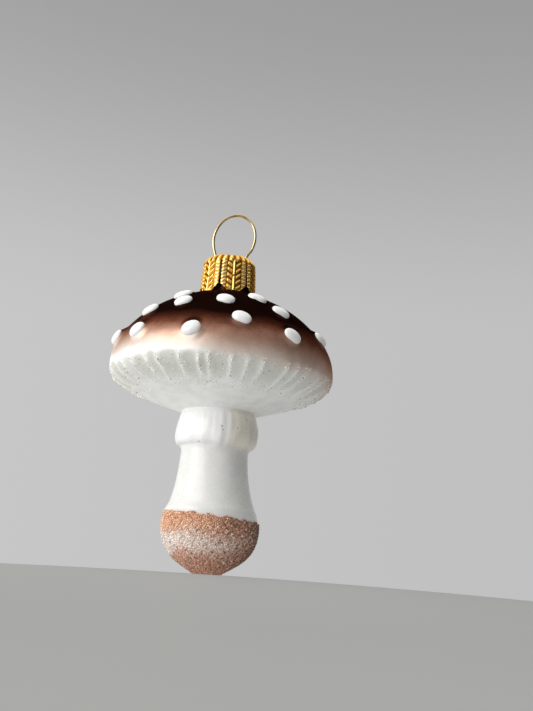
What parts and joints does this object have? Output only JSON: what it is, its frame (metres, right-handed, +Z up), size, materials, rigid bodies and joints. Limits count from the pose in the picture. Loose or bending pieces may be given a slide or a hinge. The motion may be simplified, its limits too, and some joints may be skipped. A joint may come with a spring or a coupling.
{
  "type": "glass mushroom ornament",
  "caption": "Hollow glass mushroom ornament with a domed spotted cap, waisted stem, bead-coated foot, pull-off stamped crown and a wire hanging loop.",
  "frame": {"origin": "middle of the small flat under the foot, where the ornament stands", "axes": "+Z up along the axis of the mushroom, through the crown; -Y towards the pictured front; the wire loop lies in the XZ plane"},
  "size_m": [0.0536, 0.0536, 0.0889],
  "materials": {
    "lacquered_glass": "opaque satin lacquer on blown glass, dark brown over the dome fading to off-white below",
    "bead_coat": "fine copper-brown glass beads, sparkling and rough",
    "enamel": "thick glossy white enamel",
    "crown_metal": "bright gold stamped sheet",
    "hanger_metal": "pale gold plated spring wire"
  },
  "bodies": {
    "mushroom": {"glass_body": "lacquered_glass", "foot_bead_coat": "bead_coat", "enamel_drop_01": "enamel", "enamel_drop_02": "enamel", "enamel_drop_03": "enamel", "enamel_drop_04": "enamel", "enamel_drop_05": "enamel", "enamel_drop_06": "enamel", "enamel_drop_07": "enamel", "enamel_drop_08": "enamel", "enamel_drop_09": "enamel", "enamel_drop_10": "enamel", "enamel_drop_11": "enamel", "enamel_drop_12": "enamel", "enamel_drop_13": "enamel", "enamel_drop_14": "enamel", "enamel_drop_15": "enamel", "enamel_drop_16": "enamel", "enamel_drop_17": "enamel", "enamel_drop_18": "enamel", "enamel_drop_19": "enamel", "enamel_drop_20": "enamel", "enamel_drop_21": "enamel", "enamel_drop_22": "enamel", "enamel_drop_23": "enamel", "enamel_drop_24": "enamel", "enamel_drop_25": "enamel", "enamel_drop_26": "enamel", "enamel_drop_27": "enamel", "enamel_drop_28": "enamel", "enamel_drop_29": "enamel", "enamel_drop_30": "enamel", "enamel_drop_31": "enamel"},
    "crown": {"crown_cap": "crown_metal"},
    "hanger": {"hanger_wire": "hanger_metal"}
  },
  "joints": [
    {"name": "crown_pull", "type": "slide", "parent": "mushroom", "child": "crown", "axis": [0, 0, 1], "range_m": [0, 0.016]},
    {"name": "hanger_rock", "type": "hinge", "parent": "crown", "child": "hanger", "pos_m": [0, 0, 0.0764], "axis": [1, 0, 0], "range_deg": [-8, 8]}
  ]
}
